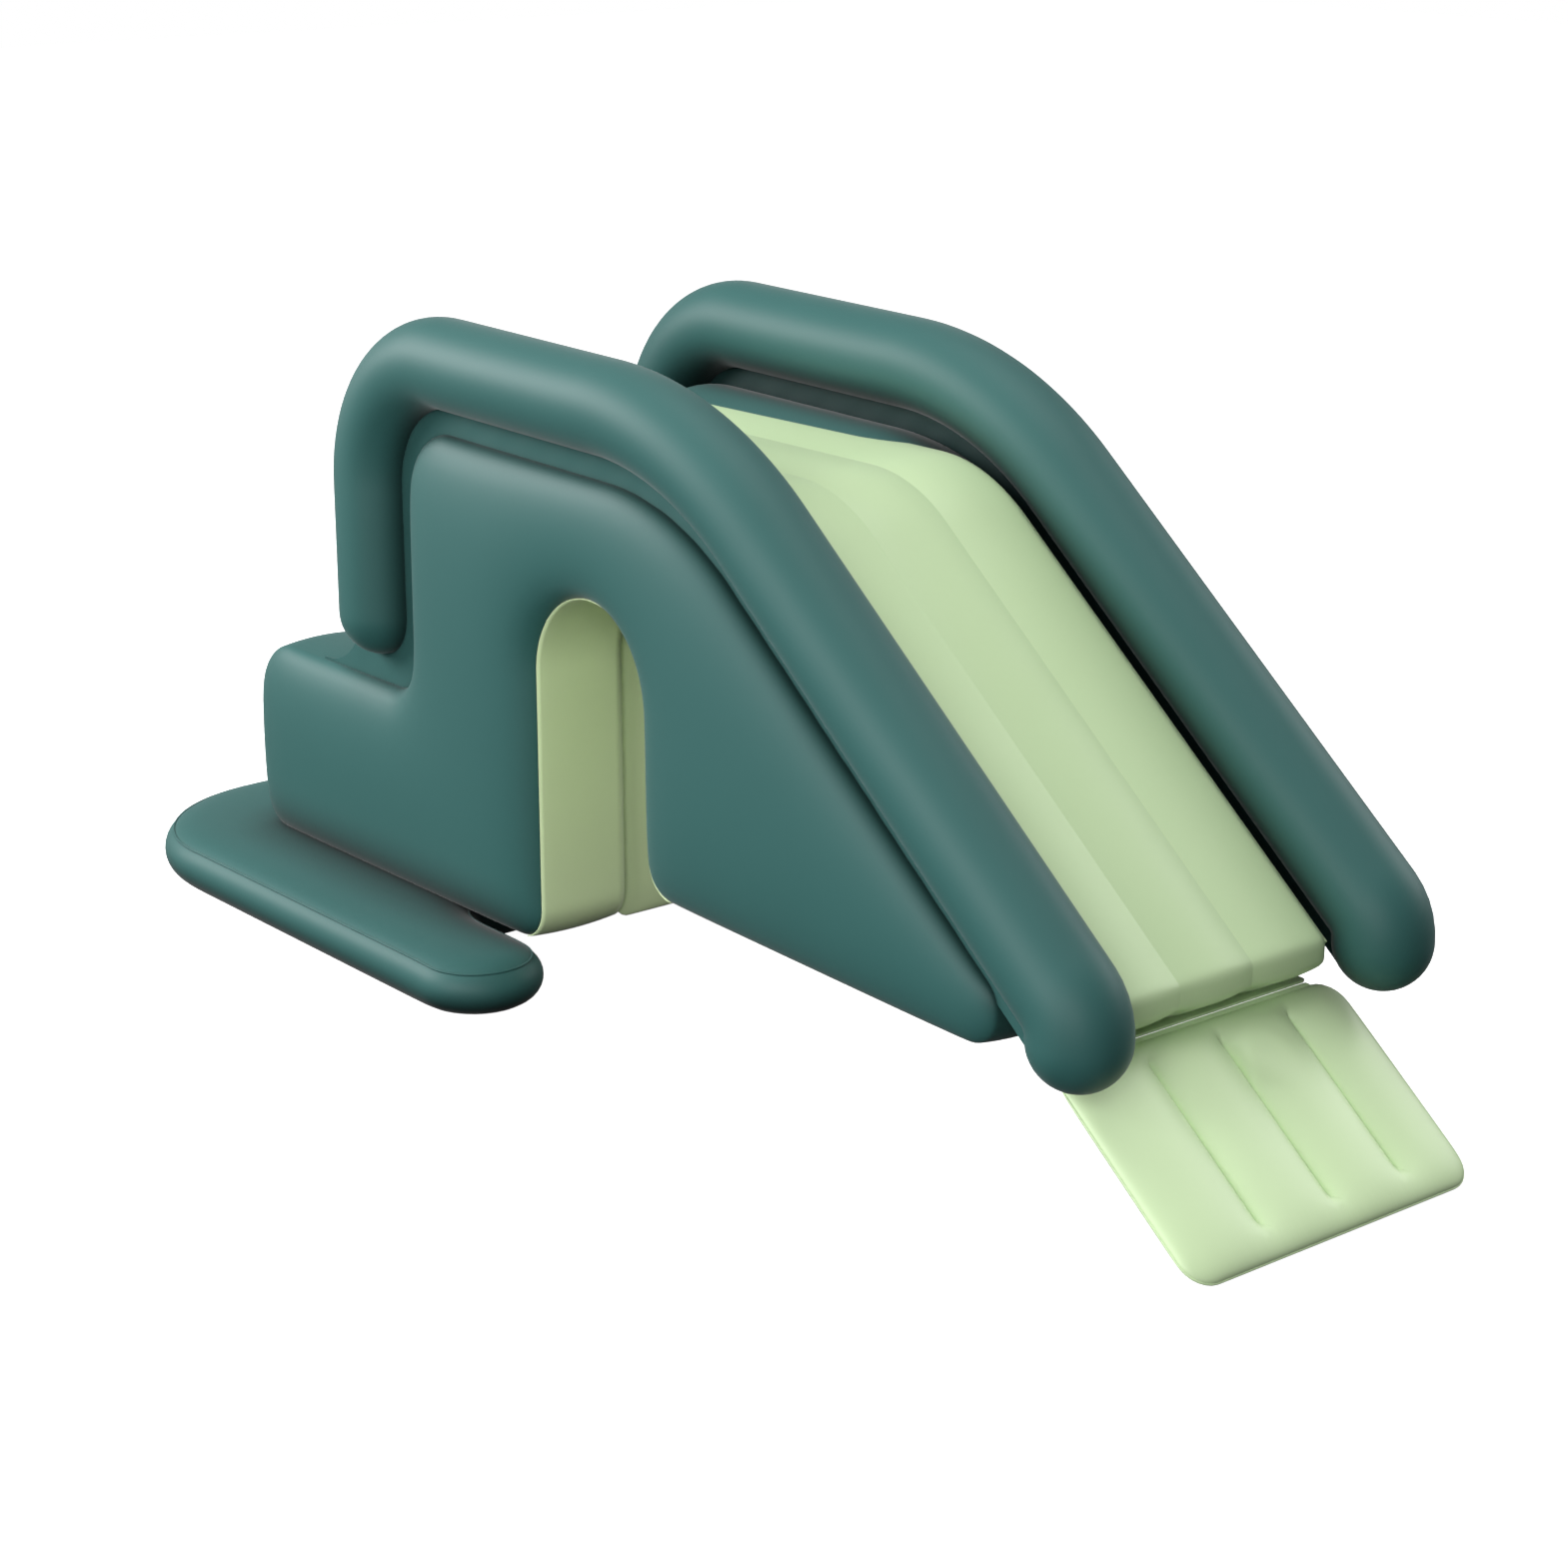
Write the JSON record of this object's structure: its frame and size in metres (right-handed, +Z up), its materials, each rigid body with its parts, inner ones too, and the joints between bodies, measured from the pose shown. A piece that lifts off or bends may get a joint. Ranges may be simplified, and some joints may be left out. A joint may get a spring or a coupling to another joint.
{
  "type": "inflatable wave slide",
  "caption": "Inflatable slide on a horseshoe ground pad, with stairs, an arch that straddles a low pool wall, bent tube handrails, a channelled bed and a hinged landing mat.",
  "frame": {"origin": "on the ground under the middle of the whole object", "axes": "+X down the slide towards the landing mat, +Y to the slider's left, +Z up"},
  "size_m": [1.9999, 0.8, 0.8498],
  "materials": {
    "teal_pvc": "satin",
    "green_pvc": "satin",
    "valve": "gloss"
  },
  "bodies": {
    "slide_body": {"base_pad": "teal_pvc", "bed_valve_seat": "valve", "left_bed_flange": "green_pvc", "left_handrail": "teal_pvc", "left_rail_valve_seat": "valve", "left_rail_web": "teal_pvc", "left_side_wall": "teal_pvc", "left_tunnel_liner": "green_pvc", "mat_hinge_strip": "green_pvc", "pad_valve_seat": "valve", "right_bed_flange": "green_pvc", "right_handrail": "teal_pvc", "right_rail_valve_seat": "valve", "right_rail_web": "teal_pvc", "right_side_wall": "teal_pvc", "right_tunnel_liner": "green_pvc", "slide_channel_left": "green_pvc", "slide_channel_middle": "green_pvc", "slide_channel_right": "green_pvc", "stair_block": "teal_pvc", "stairs_valve_seat": "valve", "tunnel_rear_panel": "green_pvc"},
    "mat": {"landing_mat": "green_pvc", "mat_hinge_tab": "green_pvc", "mat_valve_seat": "valve"},
    "pad_cap": {"pad_valve_cap": "valve"},
    "pad_flap": {"pad_valve_flap": "valve"},
    "stairs_cap": {"stairs_valve_cap": "valve"},
    "stairs_flap": {"stairs_valve_flap": "valve"},
    "right_rail_cap": {"right_rail_valve_cap": "valve"},
    "right_rail_flap": {"right_rail_valve_flap": "valve"},
    "left_rail_cap": {"left_rail_valve_cap": "valve"},
    "left_rail_flap": {"left_rail_valve_flap": "valve"},
    "bed_cap": {"bed_valve_cap": "valve"},
    "bed_flap": {"bed_valve_flap": "valve"},
    "mat_cap": {"mat_valve_cap": "valve"},
    "mat_flap": {"mat_valve_flap": "valve"}
  },
  "joints": [
    {"name": "mat_fold", "type": "hinge", "parent": "slide_body", "child": "mat", "pos_m": [0.768, 0, 0.184], "axis": [0, 1, 0], "range_deg": [-12, 52]},
    {"name": "pad_cap_hinge", "type": "hinge", "parent": "slide_body", "child": "pad_cap", "pos_m": [-0.9144, 0.22, 0.0783], "axis": [0, -1, 0], "range_deg": [0, 150]},
    {"name": "pad_flap_hinge", "type": "hinge", "parent": "slide_body", "child": "pad_flap", "pos_m": [-0.9095, 0.22, 0.0598], "axis": [0, 1, 0], "range_deg": [0, 45], "stiffness_Nm_per_rad": 0.0001},
    {"name": "stairs_cap_hinge", "type": "hinge", "parent": "slide_body", "child": "stairs_cap", "pos_m": [-0.7973, 0, 0.2044], "axis": [0, 1, 0], "range_deg": [0, 150]},
    {"name": "stairs_flap_hinge", "type": "hinge", "parent": "slide_body", "child": "stairs_flap", "pos_m": [-0.7788, 0, 0.1995], "axis": [0, -1, 0], "range_deg": [0, 45], "stiffness_Nm_per_rad": 0.0001},
    {"name": "right_rail_cap_hinge", "type": "hinge", "parent": "slide_body", "child": "right_rail_cap", "pos_m": [-0.5483, -0.238, 0.5744], "axis": [0, 1, 0], "range_deg": [0, 150]},
    {"name": "right_rail_flap_hinge", "type": "hinge", "parent": "slide_body", "child": "right_rail_flap", "pos_m": [-0.5298, -0.238, 0.5695], "axis": [0, -1, 0], "range_deg": [0, 45], "stiffness_Nm_per_rad": 0.0001},
    {"name": "left_rail_cap_hinge", "type": "hinge", "parent": "slide_body", "child": "left_rail_cap", "pos_m": [-0.5483, 0.238, 0.5744], "axis": [0, 1, 0], "range_deg": [0, 150]},
    {"name": "left_rail_flap_hinge", "type": "hinge", "parent": "slide_body", "child": "left_rail_flap", "pos_m": [-0.5298, 0.238, 0.5695], "axis": [0, -1, 0], "range_deg": [0, 45], "stiffness_Nm_per_rad": 0.0001},
    {"name": "bed_cap_hinge", "type": "hinge", "parent": "slide_body", "child": "bed_cap", "pos_m": [0.34529, 0, 0.50914], "axis": [0, 1, 0], "range_deg": [0, 150]},
    {"name": "bed_flap_hinge", "type": "hinge", "parent": "slide_body", "child": "bed_flap", "pos_m": [0.36063, 0, 0.52059], "axis": [0, -1, 0], "range_deg": [0, 45], "stiffness_Nm_per_rad": 0.0001},
    {"name": "mat_cap_hinge", "type": "hinge", "parent": "mat", "child": "mat_cap", "pos_m": [0.80346, 0.05538, 0.13083], "axis": [0, 1, 0], "range_deg": [0, 150]},
    {"name": "mat_flap_hinge", "type": "hinge", "parent": "mat", "child": "mat_flap", "pos_m": [0.81866, 0.05538, 0.14245], "axis": [0, -1, 0], "range_deg": [0, 45], "stiffness_Nm_per_rad": 0.0001}
  ]
}
